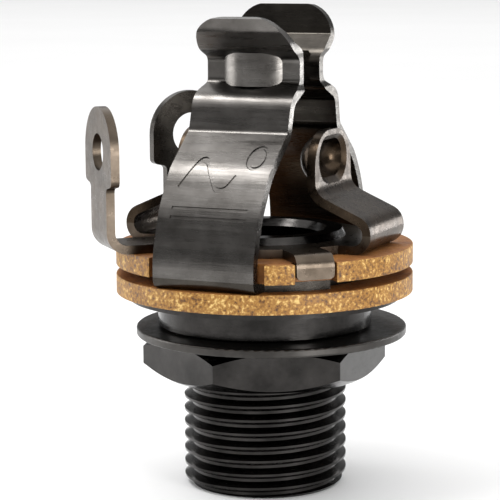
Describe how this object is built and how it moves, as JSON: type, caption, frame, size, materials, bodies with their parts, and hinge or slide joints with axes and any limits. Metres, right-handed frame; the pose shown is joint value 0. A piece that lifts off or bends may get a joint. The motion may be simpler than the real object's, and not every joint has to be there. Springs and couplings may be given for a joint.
{
  "type": "quarter-inch audio jack socket",
  "caption": "Open-frame panel socket for a 6.35 mm instrument plug, with sprung tip and sleeve contacts, solder lugs, washer and nut.",
  "frame": {"origin": "centre of the plug mouth, at the free end of the threaded sleeve", "axes": "+Z along the plug axis from the mouth to the contact springs; -Y to the front tip spring; +X to the right ground arm"},
  "size_m": [0.018, 0.0175, 0.0279],
  "materials": {
    "turned_metal": "black nickel plating on turned brass, glossy",
    "washer_metal": "dark nickel plating, satin",
    "spring_metal": "dark nickel plating with a fine brushed grain",
    "ground_metal": "dark nickel plating, semi-gloss",
    "fibre": "pressed fibre board, speckled cut edge",
    "tube": "smooth insulating tube"
  },
  "bodies": {
    "jack_body": {"sleeve": "turned_metal", "lower_fibre_washer": "fibre", "insulating_tube": "tube", "tip_plate": "spring_metal", "upper_fibre_washer": "fibre", "ground_plate": "ground_metal"},
    "washer": {"panel_washer": "washer_metal"},
    "nut": {"hex_nut": "turned_metal"},
    "front_spring": {"tip_spring_front": "spring_metal"},
    "rear_spring": {"tip_spring_rear": "spring_metal"},
    "right_arm": {"ground_arm_right": "ground_metal"},
    "left_arm": {"ground_arm_left": "ground_metal"}
  },
  "joints": [
    {"name": "washer_slide", "type": "slide", "parent": "jack_body", "child": "washer", "axis": [0, 0, -1], "range_m": [0, 0.0055]},
    {"name": "nut_spin", "type": "hinge", "parent": "washer", "child": "nut", "pos_m": [0, 0, 0.0077], "axis": [0, 0, -1], "range_deg": [0, 2500]},
    {"name": "front_spring_flex", "type": "hinge", "parent": "jack_body", "child": "front_spring", "pos_m": [0, -0.00835, 0.0132], "axis": [1, 0, 0], "range_deg": [0, 9], "stiffness_Nm_per_rad": 0.3},
    {"name": "rear_spring_flex", "type": "hinge", "parent": "jack_body", "child": "rear_spring", "pos_m": [0, 0.00835, 0.0132], "axis": [-1, 0, 0], "range_deg": [0, 9], "stiffness_Nm_per_rad": 0.3},
    {"name": "right_arm_flex", "type": "hinge", "parent": "jack_body", "child": "right_arm", "pos_m": [0.00765, 0, 0.0153], "axis": [0, 1, 0], "range_deg": [0, 12], "stiffness_Nm_per_rad": 0.3},
    {"name": "left_arm_flex", "type": "hinge", "parent": "jack_body", "child": "left_arm", "pos_m": [-0.00765, 0, 0.0153], "axis": [0, -1, 0], "range_deg": [0, 12], "stiffness_Nm_per_rad": 0.3}
  ],
  "couplings": [
    {"joint": "nut_spin", "follows": "washer_slide", "rad_per_m": 7915.8}
  ]
}
